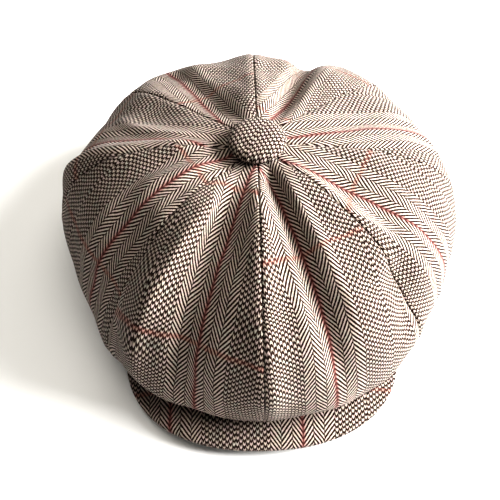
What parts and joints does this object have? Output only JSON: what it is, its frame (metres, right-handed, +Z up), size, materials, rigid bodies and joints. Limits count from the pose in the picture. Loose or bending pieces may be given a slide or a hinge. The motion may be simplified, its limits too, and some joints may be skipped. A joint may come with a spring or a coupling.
{
  "type": "newsboy cap",
  "caption": "Soft gored newsboy cap in brown and cream herringbone tweed with thin red and orange check lines, a covered top button and a short curved visor that flexes.",
  "frame": {"origin": "on the surface the cap stands on, under the centre of its bounding box", "axes": "+Z up from the band's lower rim to the button, +Y towards the back of the cap, visor towards -Y"},
  "size_m": [0.275, 0.3161, 0.1207],
  "materials": {
    "tweed": "matte woollen herringbone and birdseye weave, dark brown and cream, with red and orange windowpane lines",
    "satin_lining": "smooth dark brown satin",
    "sweatband_twill": "matte dark cotton twill tape",
    "buckram": "stiff open woven interlining",
    "elastic_web": "ribbed woven elastic",
    "visor_board_plastic": "plain flexible polyethylene sheet",
    "button_steel": "plain pressed steel"
  },
  "bodies": {
    "crown": {"crown_panel_1": "tweed", "crown_panel_2": "tweed", "crown_panel_3": "tweed", "crown_panel_4": "tweed", "crown_panel_5": "tweed", "crown_panel_6": "tweed", "crown_panel_7": "tweed", "crown_panel_8": "tweed", "lining_panel_1": "satin_lining", "lining_panel_2": "satin_lining", "lining_panel_3": "satin_lining", "lining_panel_4": "satin_lining", "lining_panel_5": "satin_lining", "lining_panel_6": "satin_lining", "lining_panel_7": "satin_lining", "lining_panel_8": "satin_lining", "headband": "tweed", "band_stiffener": "buckram", "back_elastic": "elastic_web", "sweatband": "sweatband_twill", "button_cover": "tweed", "button_shell": "button_steel", "button_shank": "button_steel", "button_washer": "button_steel"},
    "visor": {"visor_top_cover": "tweed", "visor_board": "visor_board_plastic", "visor_under_cover": "tweed"}
  },
  "joints": [
    {"name": "visor_flex", "type": "hinge", "parent": "crown", "child": "visor", "pos_m": [0, -0.0985, 0.0148], "axis": [-1, 0, 0], "range_deg": [-12, 8], "stiffness_Nm_per_rad": 0.4}
  ]
}
